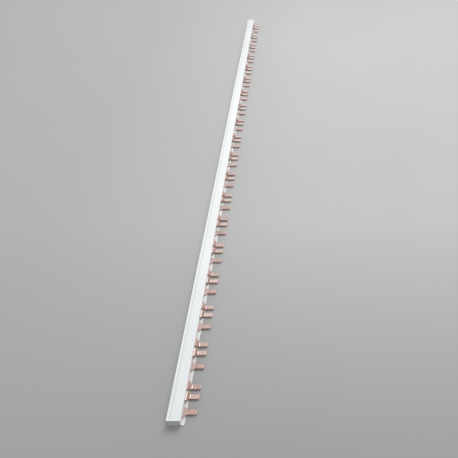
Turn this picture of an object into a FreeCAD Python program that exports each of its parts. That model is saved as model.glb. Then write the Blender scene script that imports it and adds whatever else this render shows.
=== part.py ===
import FreeCAD, Part
import os
import re
import Sketcher

# Comb busbar for a row of modular circuit breakers: three flat copper combs lie
# on three floors of one extruded insulating housing, and all their pins come out
# in one row. It lies on its bottom wall: +Y along the bar away from its near end,
# +X from the back wall to the pin tips, +Z up.
#
# Each body is drawn from the housing's back, near, bottom corner (x depth,
# y along the bar, z height) and then placed so that the part stands centred
# on the origin.

doc = FreeCAD.newDocument("comb_busbar")

sizes = doc.addObject("Spreadsheet::Sheet", "Sizes")
DRIVING_SIZES = [
    # the row of pins
    ("module_pitch", 17.6, "width of one breaker pole, the even step of the row"),
    ("pins_per_comb", 19, "pins on each comb"),
    ("near_margin", 13.3, "outer face of the near cap to the middle of the first pin"),
    ("far_margin", 7.7, "even place of the last pin to the outer face of the far cap"),
    ("slip_middle", 0.6, "how far the middle comb has slid towards the near end"),
    ("slip_top", 7.0, "how far the top comb has slid towards the near end"),
    # the copper combs
    ("comb_thickness", 1.5, "thickness of the copper sheet"),
    ("strip_width", 11.55, "width of the comb's strip inside the housing"),
    ("strip_overhang", 7.8, "middle of an outer pin to the end of its strip"),
    ("tab_gap", 0.2, "room between neighbouring tabs of the middle and top combs, seen from above"),
    ("pin_width", 5.0, "width of a pin"),
    ("pin_projection", 13.4, "front of the top wall to the pin tips"),
    ("taper_end", 3.3, "front of the top wall to where a tab has narrowed to its pin"),
    ("crank_head", 0.4, "front of the top wall to the upper bend of a crank"),
    ("crank_foot", 3.45, "front of the top wall to the lower bend of a crank"),
    ("bend_radius", 0.7, "inner radius of the bends"),
    ("tip_chamfer", 0.7, "corner chamfer of a pin's tip"),
    # the housing
    ("floor_thickness", 1.5, "bottom wall under the lowest comb"),
    ("ledge_thickness", 1.1, "lip of the bottom wall in front of the combs"),
    ("ledge_reach", 2.05, "how far the lip passes the front of the top wall"),
    ("rib_thickness", 1.65, "insulating rib between two combs"),
    ("rib_setback", 1.4, "how far the ribs end behind the front of the top wall"),
    ("roof_thickness", 2.15, "top wall"),
    ("back_thickness", 1.6, "back wall"),
    ("slot_clearance", 0.35, "room above a comb in its slot"),
    ("back_clearance", 0.3, "room behind a comb in its slot"),
    ("mouth_depth", 1.9, "front of the top wall back to a strip's front edge"),
    ("outer_radius", 1.0, "rounding of the housing's long back edges"),
    ("front_radius", 0.7, "rounding of the top wall's front edge"),
    ("ledge_radius", 0.5, "rounding of the lip's upper edge"),
    ("groove_offset", 2.9, "outer back face to the shallow groove along the top wall"),
    ("groove_width", 2.0, "width of that groove"),
    ("groove_depth", 0.9, "depth of that groove"),
    # the end caps
    ("cap_thickness", 1.5, "plate of an end cap"),
    ("tongue_length", 2.2, "how far a cap's tongues enter the slots"),
    ("tongue_clearance", 0.2, "room above, behind and in front of a tongue"),
]
for row, (alias, value, meaning) in enumerate(DRIVING_SIZES, start=1):
    sizes.set("A%d" % row, alias)
    sizes.set("B%d" % row, str(value))
    sizes.set("C%d" % row, meaning)
    sizes.setAlias("B%d" % row, alias)
doc.recompute()


def size(text):
    """Point each plain word of a formula at the sheet: 'strip_width / 2'."""
    aliases = "|".join(alias for alias, value, meaning in DRIVING_SIZES)
    return re.sub(r"\b(%s)\b" % aliases, r"Sizes.\1", text)


# Places that several pieces share, as formulas of the driving sizes
SLOT_HEIGHT = "(comb_thickness + slot_clearance)"
LAYER_STEP = "(%s + rib_thickness)" % SLOT_HEIGHT
STRIP_BACK = "(back_thickness + back_clearance)"
STRIP_FRONT = "(%s + strip_width)" % STRIP_BACK
ROOF_FRONT = "(%s + mouth_depth)" % STRIP_FRONT
RIB_FRONT = "(%s - rib_setback)" % ROOF_FRONT
LEDGE_FRONT = "(%s + ledge_reach)" % ROOF_FRONT
TIP = "(%s + pin_projection)" % ROOF_FRONT
ROOF_UNDERSIDE = "(floor_thickness + 2 * %s + %s)" % (LAYER_STEP, SLOT_HEIGHT)
HOUSING_HEIGHT = "(%s + roof_thickness)" % ROOF_UNDERSIDE
COMB_STEP = "(3 * module_pitch)"
ROOT_WIDTH = "(module_pitch + slip_middle - slip_top - tab_gap)"
ROW_LENGTH = "((3 * pins_per_comb - 1) * module_pitch)"
BAR_LENGTH = "(near_margin + %s + far_margin)" % ROW_LENGTH
HOUSING_LENGTH = "(%s - 2 * cap_thickness)" % BAR_LENGTH
COMB_LENGTH = "((pins_per_comb - 1) * %s + 2 * strip_overhang)" % COMB_STEP


def slot_floor(layer):
    """Height of the floor that the comb of this layer lies on; 0 is the lowest."""
    return "(floor_thickness + %d * %s)" % (layer, LAYER_STEP)


def number(text):
    """Present value of a formula."""
    value = sizes.evalExpression(size(text))
    return float(getattr(value, "Value", value))


def new_body(name):
    """A body whose drawing corner is the bar's back, near, bottom corner."""
    body = doc.addObject("PartDesign::Body", name)
    body.Label = name
    body.setExpression("Placement.Base.x", size("-(%s) / 2" % TIP))
    body.setExpression("Placement.Base.y", size("-(%s) / 2" % BAR_LENGTH))
    return body


def sketch_on(body, name, plane, offset=None):
    """A sketch on one of the body's own planes, moved along its normal."""
    sketch = body.newObject("Sketcher::SketchObject", name)
    origin_planes = [f for f in body.Origin.OriginFeatures if f.Role == plane]
    sketch.AttachmentSupport = [(origin_planes[0], "")]
    sketch.MapMode = "FlatFace"
    if offset:
        sketch.setExpression("AttachmentOffset.Base.z", size(offset))
    return sketch


def draw_outline(sketch, corners):
    """Draw a closed outline whose corners are held at formulas of the sizes."""
    points = [FreeCAD.Vector(number(x), number(y), 0) for x, y in corners]
    first = sketch.GeometryCount
    for i, start in enumerate(points):
        end = points[(i + 1) % len(points)]
        sketch.addGeometry(Part.LineSegment(start, end))
    for i, (x, y) in enumerate(corners):
        line = first + i
        following = first + (i + 1) % len(corners)
        sketch.addConstraint(Sketcher.Constraint("Coincident", line, 2, following, 1))
        hold(sketch, "DistanceX", line, x)
        hold(sketch, "DistanceY", line, y)


def hold(sketch, direction, line, formula):
    """Hold the start of a line at a distance from the sketch's origin."""
    constraint = Sketcher.Constraint(direction, -1, 1, line, 1, number(formula))
    index = sketch.addConstraint(constraint)
    sketch.setExpression("Constraints[%d]" % index, size(formula))


def pad(body, name, sketch, length):
    """Pad a section of the XZ plane along the bar."""
    feature = body.newObject("PartDesign::Pad", name)
    feature.Profile = sketch
    feature.setExpression("Length", size(length))
    feature.Reversed = True
    sketch.Visibility = False
    return feature


def long_edges(shape, spots):
    """Names of the edges along the bar that pass through these (x, z) spots."""
    names = []
    for index, edge in enumerate(shape.Edges, start=1):
        start, end = edge.firstVertex().Point, edge.lastVertex().Point
        along_bar = abs(start.x - end.x) < 1e-6 and abs(start.z - end.z) < 1e-6
        if along_bar and any(
            abs(start.x - x) < 1e-4 and abs(start.z - z) < 1e-4 for x, z in spots
        ):
            names.append("Edge%d" % index)
    return names


def round_long_edges(body, name, spots, radius):
    """Round the edges along the bar at these (x, z) formulas."""
    doc.recompute()
    base = body.Tip
    places = [(number(x), number(z)) for x, z in spots]
    feature = body.newObject("PartDesign::Fillet", name)
    feature.Base = (base, long_edges(base.Shape, places))
    feature.setExpression("Radius", size(radius))
    return feature


# Housing: one extrusion with three slots, open at the front

def section_outline():
    """Outer corners of the housing's end, from the bottom back corner."""
    return [
        ("0", "0"),
        (LEDGE_FRONT, "0"),
        (LEDGE_FRONT, "ledge_thickness"),
        (RIB_FRONT, "ledge_thickness"),
        (RIB_FRONT, ROOF_UNDERSIDE),
        (ROOF_FRONT, ROOF_UNDERSIDE),
        (ROOF_FRONT, HOUSING_HEIGHT),
        ("0", HOUSING_HEIGHT),
    ]


def round_section(body):
    """The housing and its caps share the same rounded outer edges."""
    back_edges = [("0", "0"), ("0", HOUSING_HEIGHT)]
    round_long_edges(body, "BackRounds", back_edges, "outer_radius")
    roof_edge = [(ROOF_FRONT, HOUSING_HEIGHT)]
    round_long_edges(body, "FrontRound", roof_edge, "front_radius")
    ledge_edge = [(LEDGE_FRONT, "ledge_thickness")]
    round_long_edges(body, "LedgeRound", ledge_edge, "ledge_radius")


def make_housing():
    body = new_body("housing")
    corners = section_outline()[:4]
    for layer in range(3):
        underside = "(%s + %s)" % (slot_floor(layer), SLOT_HEIGHT)
        slot_front = ROOF_FRONT if layer == 2 else RIB_FRONT
        corners += [
            (RIB_FRONT, slot_floor(layer)),
            ("back_thickness", slot_floor(layer)),
            ("back_thickness", underside),
            (slot_front, underside),
        ]
    groove_front = "groove_offset + groove_width"
    groove_bottom = "%s - groove_depth" % HOUSING_HEIGHT
    corners += [
        (ROOF_FRONT, HOUSING_HEIGHT),
        (groove_front, HOUSING_HEIGHT),
        (groove_front, groove_bottom),
        ("groove_offset", groove_bottom),
        ("groove_offset", HOUSING_HEIGHT),
        ("0", HOUSING_HEIGHT),
    ]
    section = sketch_on(body, "HousingSection", "XZ_Plane", "-cap_thickness")
    draw_outline(section, corners)
    pad(body, "HousingExtrusion", section, HOUSING_LENGTH)
    round_section(body)
    return body


# End caps: a plate over each end, with a tongue in each slot

def make_cap(name, plate_start, tongue_start):
    body = new_body(name)
    plate = sketch_on(body, "PlateSection", "XZ_Plane", "-(%s)" % plate_start)
    draw_outline(plate, section_outline())
    pad(body, "Plate", plate, "cap_thickness")
    round_section(body)
    tongues = sketch_on(body, "TongueSections", "XZ_Plane", "-(%s)" % tongue_start)
    back = "back_thickness + tongue_clearance"
    front = "%s - tongue_clearance" % STRIP_FRONT
    for layer in range(3):
        floor = slot_floor(layer)
        top = "%s + %s - tongue_clearance" % (floor, SLOT_HEIGHT)
        corners = [(back, floor), (front, floor), (front, top), (back, top)]
        draw_outline(tongues, corners)
    pad(body, "Tongues", tongues, "tongue_length")
    return body


# Copper combs: sheet bent in section, then punched between the pins

def bent_section(layer):
    """Section of a comb whose tabs step down to the row of pins."""
    strip = slot_floor(layer)
    row = slot_floor(0)
    strip_top = "%s + comb_thickness" % strip
    row_top = "%s + comb_thickness" % row
    if layer == 0:
        corners = [(STRIP_BACK, strip), (TIP, row), (TIP, row_top), (STRIP_BACK, strip_top)]
        return corners, [], []
    upper_head = "(%s + crank_head)" % ROOF_FRONT
    upper_foot = "(%s + crank_foot)" % ROOF_FRONT
    slope = "atan( %d * %s / (crank_foot - crank_head) )" % (layer, LAYER_STEP)
    # the under side turns this much nearer to the strip than the upper side
    lead = "comb_thickness * tan( %s / 2 )" % slope
    lower_head = "%s - %s" % (upper_head, lead)
    lower_foot = "%s - %s" % (upper_foot, lead)
    corners = [
        (STRIP_BACK, strip),
        (lower_head, strip),
        (lower_foot, row),
        (TIP, row),
        (TIP, row_top),
        (upper_foot, row_top),
        (upper_head, strip_top),
        (STRIP_BACK, strip_top),
    ]
    inner = [(lower_head, strip), (upper_foot, row_top)]
    outer = [(lower_foot, row), (upper_head, strip_top)]
    return corners, inner, outer


def punch_outline(pin_middle, side):
    """Sheet punched away on one side (-1 or 1) of a pin, half way to the next."""
    half_step = "(%s / 2 + comb_thickness)" % COMB_STEP

    def across(distance):
        return "%s + %d * %s" % (pin_middle, side, distance)

    past_tip = "%s + comb_thickness" % TIP
    taper_foot = "%s + taper_end" % ROOF_FRONT
    return [
        (STRIP_FRONT, across("%s / 2" % ROOT_WIDTH)),
        (ROOF_FRONT, across("%s / 2" % ROOT_WIDTH)),
        (taper_foot, across("pin_width / 2")),
        ("%s - tip_chamfer" % TIP, across("pin_width / 2")),
        (TIP, across("(pin_width / 2 - tip_chamfer)")),
        (past_tip, across("(pin_width / 2 - tip_chamfer)")),
        (past_tip, across(half_step)),
        (STRIP_FRONT, across(half_step)),
    ]


def make_comb(name, layer, slip):
    body = new_body(name)
    first_pin = "(near_margin + %d * module_pitch - %s)" % (layer, slip)
    strip_start = "(%s - strip_overhang)" % first_pin
    section = sketch_on(body, "BentSection", "XZ_Plane", "-%s" % strip_start)
    corners, inner_bends, outer_bends = bent_section(layer)
    draw_outline(section, corners)
    pad(body, "BentSheet", section, COMB_LENGTH)
    if inner_bends:
        round_long_edges(body, "InnerBends", inner_bends, "bend_radius")
        outer_radius = "bend_radius + comb_thickness"
        round_long_edges(body, "OuterBends", outer_bends, outer_radius)
    punches = sketch_on(body, "PunchOutlines", "XY_Plane")
    draw_outline(punches, punch_outline(first_pin, -1))
    draw_outline(punches, punch_outline(first_pin, 1))
    punching = body.newObject("PartDesign::Pocket", "Punching")
    punching.Profile = punches
    punching.Type = "ThroughAll"
    punching.Midplane = True
    punches.Visibility = False
    doc.recompute()
    row = body.newObject("PartDesign::LinearPattern", "RowOfPins")
    row.Originals = [punching]
    row.Direction = (punches, ["V_Axis"])
    row.setExpression("Length", size("(pins_per_comb - 1) * %s" % COMB_STEP))
    row.setExpression("Occurrences", size("pins_per_comb"))
    body.Tip = row
    return body


pieces = [
    make_housing(),
    make_comb("copper_comb_bottom", 0, "0"),
    make_comb("copper_comb_middle", 1, "slip_middle"),
    make_comb("copper_comb_top", 2, "slip_top"),
    make_cap("end_cap_near", "0", "cap_thickness"),
    make_cap("end_cap_far", "%s - cap_thickness" % BAR_LENGTH,
             "%s - cap_thickness - tongue_length" % BAR_LENGTH),
]
doc.recompute()

for item in doc.Objects:
    if "Invalid" in item.State or "Error" in item.State:
        raise RuntimeError("%s did not recompute" % item.Name)

os.makedirs("parts", exist_ok=True)
for piece in pieces:
    shape = piece.Shape
    if shape.isNull() or not shape.isValid():
        raise RuntimeError("%s has no valid shape" % piece.Label)
    box = shape.BoundBox
    print("%-20s %2d solid, %9.1f mm3, x %7.2f %7.2f, y %7.2f %7.2f, z %5.2f %5.2f" % (
        piece.Label, len(shape.Solids), shape.Volume,
        box.XMin, box.XMax, box.YMin, box.YMax, box.ZMin, box.ZMax))
    shape.exportStep("parts/%s.step" % piece.Label)
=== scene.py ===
import math

import bpy
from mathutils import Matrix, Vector


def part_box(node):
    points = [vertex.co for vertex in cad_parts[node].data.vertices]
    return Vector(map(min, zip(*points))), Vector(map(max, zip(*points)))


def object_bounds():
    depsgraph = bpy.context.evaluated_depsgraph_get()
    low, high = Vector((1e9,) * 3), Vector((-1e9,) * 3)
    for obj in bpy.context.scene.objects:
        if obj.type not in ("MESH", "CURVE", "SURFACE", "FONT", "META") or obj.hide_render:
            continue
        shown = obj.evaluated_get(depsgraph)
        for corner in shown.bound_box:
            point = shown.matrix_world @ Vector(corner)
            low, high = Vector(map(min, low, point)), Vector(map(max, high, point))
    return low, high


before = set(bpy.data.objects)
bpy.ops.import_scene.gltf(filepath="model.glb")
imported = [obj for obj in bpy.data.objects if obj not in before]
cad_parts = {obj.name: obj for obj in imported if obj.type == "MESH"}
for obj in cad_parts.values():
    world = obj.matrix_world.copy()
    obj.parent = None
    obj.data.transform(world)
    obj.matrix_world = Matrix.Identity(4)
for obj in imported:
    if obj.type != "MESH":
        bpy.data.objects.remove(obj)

cad_box = [list(corner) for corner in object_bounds()]
housing_back, near_end = cad_box[0][:2]
pin_tips = cad_box[1][0]
scene = bpy.context.scene


# Nodes: short ways to add them to a tree

class Wiring:
    """Adds nodes to one tree and joins them.

    Sockets are named with underscores for spaces. A source is another node's output, a colour,
    a vector or a number.
    """

    def __init__(self, tree):
        self.tree = tree

    def give(self, target, source):
        if isinstance(source, bpy.types.NodeSocket):
            self.tree.links.new(source, target)
        elif target.type == "RGBA":
            target.default_value = (*source, 1.0)
        else:
            target.default_value = source

    def feed(self, node, **sources):
        for name, source in sources.items():
            self.give(node.inputs[name.replace("_", " ")], source)

    def add(self, kind, **sources):
        node = self.tree.nodes.new("ShaderNode" + kind)
        self.feed(node, **sources)
        return node

    def along(self, vector, axis):
        return self.add("SeparateXYZ", Vector=vector).outputs[axis]

    def span(self, source, low, high, start=0.3, end=0.7):
        """Values from low to high as the source goes from start to end."""
        node = self.add("MapRange", Value=source, From_Min=start, From_Max=end, To_Min=low, To_Max=high)
        return node.outputs["Result"]

    def ramp(self, source, stops):
        """Colour ramp with (position, colour) stops."""
        node = self.add("ValToRGB", Fac=source)
        elements = node.color_ramp.elements
        for element, (position, colour) in zip(elements, (stops[0], stops[-1])):
            element.position = position
            element.color = (*colour, 1.0)
        for position, colour in stops[1:-1]:
            element = elements.new(position)
            element.color = (*colour, 1.0)
        return node.outputs["Color"]


class Painter(Wiring):
    """Builds one material around its Principled shader, in the object's own space."""

    WHITE = (1.0, 1.0, 1.0)

    # A Mix node has a set of sockets for each kind of data, and these are the colour ones
    MIX_FACTOR, MIX_FIRST, MIX_SECOND, MIX_RESULT = 0, 6, 7, 2

    def __init__(self, name):
        self.material = bpy.data.materials.new(name)
        self.material.use_nodes = True
        super().__init__(self.material.node_tree)
        self.shader = self.tree.nodes["Principled BSDF"]
        coordinates = self.add("TexCoord")
        self.place = coordinates.outputs["Object"]
        self.normal = coordinates.outputs["Normal"]

    def noise(self, stretch, scale, detail, roughness=0.5):
        """Noise whose grain is stretched along an axis by a small factor there."""
        stretched = self.add("Mapping", Vector=self.place, Scale=stretch).outputs["Vector"]
        noise = self.add("TexNoise", Vector=stretched, Scale=scale, Detail=detail, Roughness=roughness)
        return noise.outputs["Fac"]

    def facing(self, axis, low=0.6, high=0.9):
        """1 on faces square to the object's own axis, 0 on faces along it."""
        size = self.add("Math", Value=self.along(self.normal, axis))
        size.operation = "ABSOLUTE"
        return self.span(size.outputs["Value"], 0.0, 1.0, low, high)

    def between(self, axis, low, high):
        """How far a point lies along the object's own axis, 0 at low to 1 at high, in metres."""
        return self.span(self.along(self.place, axis), 0.0, 1.0, low, high)

    def switch(self, factor, first, second):
        """The first number where the factor is 0, and the second where it is 1."""
        return self.span(factor, first, second, 0.0, 1.0)

    def blend(self, factor, first, second, how="MIX"):
        """The first colour where the factor is 0, and the second where it is 1."""
        node = self.add("Mix")
        node.data_type = "RGBA"
        node.blend_type = how
        self.give(node.inputs[self.MIX_FACTOR], factor)
        self.give(node.inputs[self.MIX_FIRST], first)
        self.give(node.inputs[self.MIX_SECOND], second)
        return node.outputs[self.MIX_RESULT]

    def times(self, first, second):
        return self.blend(1.0, first, second, "MULTIPLY")

    def lighten(self, colour, where, by):
        """The colour multiplied by a number, as far as where goes from 0 to 1."""
        return self.times(colour, self.blend(where, self.WHITE, (by, by, by)))

    def bump(self, height, distance, strength):
        node = self.add("Bump", Height=height, Distance=distance, Strength=strength)
        self.feed(self.shader, Normal=node.outputs["Normal"])


def darker(colour, share):
    return tuple(share * channel for channel in colour)


# Places that the materials follow, in metres, in the bar's own axes

GROOVE_START = housing_back + 0.0026
GROOVE_END = housing_back + 0.0054
GROOVE_START_FADE = 0.0006
GROOVE_END_FADE = 0.001
TOP_WALL_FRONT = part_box("housing")[1].x - 0.00203
LIP_FADE = 0.0001
PIN_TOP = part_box("copper_comb_bottom")[1].z
CRANK_START = PIN_TOP + 0.0004
CRANK_END = PIN_TOP + 0.0014
ROOT_FADE = 0.0015
TIP_START = pin_tips - 0.0006
TIP_END = pin_tips - 0.0002
WHOLE_BAR = (-0.5, 0.5)
NEAR_PART = (-0.36, -0.06)
FAR_PART = (-0.1, 0.5)
FAR_PART_OF_EDGES = (-0.2, 0.5)


# Materials: every one is a Principled shader fed by procedural noise

def extruded_plastic(name, dark, light):
    """Pale extruded plastic: faint die lines, handling marks and painted shade in the groove.

    Both ends of the bar are a little greyer than its middle, as painted shade. The strip behind
    the groove and the lip at the front are a little lighter, as painted light.
    """
    paint = Painter(name)
    cloud = paint.noise((1.0, 0.5, 1.0), 24.0, 4.0)
    lines = paint.noise((1.0, 0.012, 1.0), 1400.0, 2.0)
    marks = paint.noise((1.0, 0.3, 1.0), 210.0, 6.0, 0.7)
    # Colour of the handling marks, and of the painted shade in the groove.
    grime_and_shade = darker(dark, 0.86)

    clean = paint.ramp(cloud, [(0.3, dark), (0.7, light)])
    # Painted shade: both ends of the bar are greyer than its middle.
    painted_shade_at_ends = paint.ramp(paint.between("Y", *WHOLE_BAR), [
        (0.0, (0.92, 0.92, 0.92)),
        (0.35, paint.WHITE),
        (0.62, paint.WHITE),
        (1.0, (0.865, 0.862, 0.858)),
    ])
    marked = paint.blend(paint.span(marks, 0.0, 0.35, 0.62, 0.8), paint.times(clean, painted_shade_at_ends), grime_and_shade)

    # Painted shade: the groove is blended towards the darker colour, as shade in the recess.
    past_start = paint.between("X", GROOVE_START, GROOVE_START + GROOVE_START_FADE)
    before_end = paint.between("X", GROOVE_END, GROOVE_END - GROOVE_END_FADE)
    in_groove = paint.switch(past_start, 0.0, before_end)
    painted_groove_shade = paint.blend(paint.switch(in_groove, 0.0, 0.55), marked, grime_and_shade)
    # Painted light: the strip behind the groove is made lighter.
    behind_groove = paint.between("X", GROOVE_START, GROOVE_START - GROOVE_START_FADE)
    painted_light_behind_groove = paint.lighten(painted_groove_shade, behind_groove, 1.035)
    # Painted light: the lip in front of the top wall's front edge is made lighter.
    on_lip = paint.between("X", TOP_WALL_FRONT - LIP_FADE, TOP_WALL_FRONT + LIP_FADE)

    paint.feed(
        paint.shader,
        Base_Color=paint.lighten(painted_light_behind_groove, on_lip, 1.05),
        Roughness=paint.span(marks, 0.38, 0.54),
        Specular_IOR_Level=0.18,
    )
    paint.bump(lines, 0.00004, 0.6)
    return paint.material


def moulded_plastic(name, dark, light):
    """Moulded cap: fine spark-eroded grain, painted shade on the end face, no die lines."""
    paint = Painter(name)
    cloud = paint.noise((1.0, 1.0, 1.0), 90.0, 3.0)
    grain = paint.noise((1.0, 1.0, 1.0), 2600.0, 2.0)
    side = paint.ramp(cloud, [(0.3, dark), (0.7, light)])
    # Painted shade: the end face, square to the bar's length, takes a darker grey.
    paint.feed(
        paint.shader,
        Base_Color=paint.blend(paint.facing("Y"), side, darker(dark, 0.62)),
        Roughness=paint.span(grain, 0.48, 0.6),
        Specular_IOR_Level=0.35,
    )
    paint.bump(grain, 0.00003, 0.5)
    return paint.material


def copper_sheet(name, dull, plain, bright, slope, near_root, far_root, root_reach, crank_roughness):
    """Bare punched copper: rolling lines, pale patches, browner tarnish, matt sheared edges.

    The cranks above the row of pins have their own roughness and, where they slope, their own
    colour, as painted light and shade. The roots of the tabs, up to root_reach in X, carry painted
    light and shade that go from one tone at the near end to another in the middle, and the cut tips
    are pale, as a painted highlight. All of it is paler towards the far end, as painted light.
    """
    paint = Painter(name)
    patches = paint.noise((1.0, 1.0, 1.0), 55.0, 4.0, 0.6)
    rolled = paint.noise((1.0, 0.03, 1.0), 1500.0, 3.0)
    spots = paint.noise((1.0, 1.0, 1.0), 420.0, 5.0, 0.65)

    bare = paint.ramp(patches, [(0.28, dull), (0.5, plain), (0.72, bright)])
    tarnished = paint.blend(paint.span(spots, 0.0, 0.32, 0.56, 0.78), bare, (0.475, 0.25, 0.19))
    streaked = paint.blend(paint.span(rolled, 0.0, 0.25), tarnished, bright)

    # Painted light and shade: the roots of the tabs take a tone, mostly a painted highlight, that
    # changes from the near end to the middle.
    at_root = paint.between("X", root_reach + ROOT_FADE, root_reach)
    root = paint.ramp(paint.between("Y", *NEAR_PART), [(0.0, near_root), (1.0, far_root)])
    root_light_and_shade = paint.blend(at_root, streaked, root)
    # Painted light and shade: faces sloping towards X take the slope colour, for the light the cranks
    # catch.
    slope_light_and_shade = paint.blend(paint.facing("X", 0.25, 0.7), root_light_and_shade, slope)

    # Painted highlight: the cut tips of the pins are pale.
    at_tip = paint.between("X", TIP_START, TIP_END)
    tip_highlight = paint.blend(at_tip, slope_light_and_shade, (0.80, 0.63, 0.57))
    # The sheared edges take a browner tone of their own, made paler towards the far end as painted
    # light.
    sheared = paint.facing("Y")
    edge = paint.ramp(paint.between("Y", *FAR_PART_OF_EDGES), [
        (0.0, (0.73, 0.47, 0.395)),
        (1.0, (0.93, 0.72, 0.65)),
    ])
    # Painted light: all of the copper is made paler towards the far end.
    paler = paint.ramp(paint.between("Y", *FAR_PART), [
        (0.0, paint.WHITE),
        (1.0, (1.06, 1.12, 1.17)),
    ])

    flat = paint.span(spots, 0.22, 0.36)
    faces = paint.switch(paint.between("Z", CRANK_START, CRANK_END), flat, crank_roughness)
    cut_roughness = 0.6
    paint.feed(
        paint.shader,
        Base_Color=paint.times(paint.blend(sheared, tip_highlight, edge), paler),
        Roughness=paint.switch(sheared, paint.switch(at_tip, faces, cut_roughness), cut_roughness),
        Metallic=1.0,
    )
    paint.bump(rolled, 0.00002, 0.4)
    return paint.material


housing_plastic = extruded_plastic(
    "housing_plastic",
    dark=(0.816, 0.825, 0.822),
    light=(0.876, 0.885, 0.881),
)
cap_plastic = moulded_plastic(
    "cap_plastic",
    dark=(0.753, 0.764, 0.764),
    light=(0.807, 0.818, 0.818),
)
# Painted shade: a darker copy of the copper, for the bottom comb.
painted_shade_copper = copper_sheet(
    "copper_painted_shade",
    dull=(0.66, 0.412, 0.362),
    plain=(0.75, 0.494, 0.44),
    bright=(0.825, 0.588, 0.537),
    slope=(0.68, 0.44, 0.385),
    near_root=(0.88, 0.69, 0.64),
    far_root=(0.98, 0.87, 0.82),
    root_reach=0.0025,
    crank_roughness=0.6,
)
# Painted light: a lighter copy of the copper, for the middle comb, whose pins catch more light.
painted_light_copper = copper_sheet(
    "copper_painted_light",
    dull=(0.79, 0.548, 0.48),
    plain=(0.875, 0.644, 0.565),
    bright=(0.927, 0.746, 0.678),
    slope=(0.56, 0.395, 0.35),
    near_root=(0.82, 0.71, 0.66),
    far_root=(0.56, 0.41, 0.36),
    root_reach=0.0014,
    crank_roughness=0.58,
)
plain_copper = copper_sheet(
    "copper_plain",
    dull=(0.667, 0.44, 0.39),
    plain=(0.757, 0.529, 0.475),
    bright=(0.83, 0.633, 0.582),
    slope=(0.75, 0.56, 0.51),
    near_root=(0.80, 0.60, 0.55),
    far_root=(0.80, 0.60, 0.55),
    root_reach=0.0012,
    crank_roughness=0.64,
)

DRESSING = {
    "housing": housing_plastic,
    "copper_comb_bottom": painted_shade_copper,
    "copper_comb_middle": painted_light_copper,
    "copper_comb_top": plain_copper,
    "end_cap_near": cap_plastic,
    "end_cap_far": cap_plastic,
}
for name, material in DRESSING.items():
    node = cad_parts[name]
    if not node.material_slots:
        node.data.materials.append(material)
    for held in node.material_slots:
        held.material = material


# Floor: plain and pale, with painted shade that makes it a little darker close to the camera and on the
# left

def make_floor():
    reach = 9.0
    drop = 0.0002
    corners = [(-reach, -reach, 0), (reach, -reach, 0), (reach, reach, 0), (-reach, reach, 0)]
    mesh = bpy.data.meshes.new("floor")
    mesh.from_pydata(corners, [], [(0, 1, 2, 3)])
    floor = bpy.data.objects.new("floor", mesh)
    floor.location.z = -drop
    scene.collection.objects.link(floor)

    paint = Painter("floor")
    # Painted shade: the floor is darker close to the camera and a little darker far off.
    ahead = paint.between("Y", -0.6, 1.0)
    pale = paint.ramp(ahead, [
        (0.0, (0.290, 0.292, 0.284)),
        (0.25, (0.501, 0.495, 0.487)),
        (0.62, (0.530, 0.517, 0.508)),
        (1.0, (0.470, 0.459, 0.452)),
    ])
    shady = paint.ramp(ahead, [
        (0.0, (0.343, 0.345, 0.340)),
        (0.25, (0.430, 0.428, 0.424)),
        (1.0, (0.452, 0.443, 0.436)),
    ])
    # Painted shade: the floor is darker on the left.
    on_left = paint.between("X", 0.12, -0.25)
    cloud = paint.noise((1.0, 1.0, 1.0), 5.0, 5.0, 0.6)
    shaded = paint.blend(on_left, pale, shady)
    mottled = paint.blend(paint.span(cloud, 0.0, 0.10), shaded, (0.36, 0.364, 0.36))
    paint.feed(paint.shader, Base_Color=mottled, Roughness=0.62, Specular_IOR_Level=0.3)
    floor.data.materials.append(paint.material)


make_floor()


# Light: a soft box above, beyond and to the right, and a sky that is brighter beyond

def make_soft_box(name, place, aim, size, power):
    lamp = bpy.data.lights.new(name, "AREA")
    lamp.shape = "SQUARE"
    lamp.size = size
    lamp.energy = power
    holder = bpy.data.objects.new(name, lamp)
    holder.location = place
    holder.rotation_euler = (Vector(aim) - Vector(place)).to_track_quat("-Z", "Y").to_euler()
    scene.collection.objects.link(holder)


def make_sky():
    world = bpy.data.worlds.new("sky")
    world.use_nodes = True
    scene.world = world
    wiring = Wiring(world.node_tree)
    direction = wiring.add("TexCoord").outputs["Generated"]
    beyond = wiring.span(wiring.along(direction, "Y"), 0.0, 1.0, -0.2, 1.0)
    glow = wiring.ramp(beyond, [
        (0.0, (0.748, 0.748, 0.757)),
        (0.15, (0.651, 0.651, 0.66)),
        (0.5, (0.378, 0.387, 0.396)),
        (0.70, (0.616, 0.66, 0.682)),
        (0.92, (1.02, 1.144, 1.197)),
    ])
    wiring.feed(wiring.tree.nodes["Background"], Color=glow)


make_soft_box("key_light", place=(0.72, 0.80, 2.3), aim=(0.0, -0.1, 0.0), size=1.25, power=33.9)
make_sky()
scene.view_settings.view_transform = "Standard"


# Camera: the photograph is the left square of a 4:3 frame, so the axis lies right of its middle

FRAME_PIXELS = 458
FOCAL_PIXELS = 468.0
AXIS_RIGHT_OF_MIDDLE = 76.3
PITCH_DOWN = 46.23
SENSOR_WIDTH = 36.0
RIGHT_OF_PIN_TIPS = 0.1162
BEFORE_NEAR_END = 0.1917
ABOVE_FLOOR = 0.5


def make_camera():
    lens = bpy.data.cameras.new("camera")
    lens.sensor_width = SENSOR_WIDTH
    lens.lens = SENSOR_WIDTH * FOCAL_PIXELS / FRAME_PIXELS
    lens.shift_x = -AXIS_RIGHT_OF_MIDDLE / FRAME_PIXELS
    lens.clip_start = 0.01
    lens.clip_end = 50.0
    camera = bpy.data.objects.new("camera", lens)
    camera.location = (pin_tips + RIGHT_OF_PIN_TIPS, near_end - BEFORE_NEAR_END, ABOVE_FLOOR)
    camera.rotation_euler = (math.radians(90.0 - PITCH_DOWN), 0.0, 0.0)
    scene.collection.objects.link(camera)
    scene.camera = camera


make_camera()
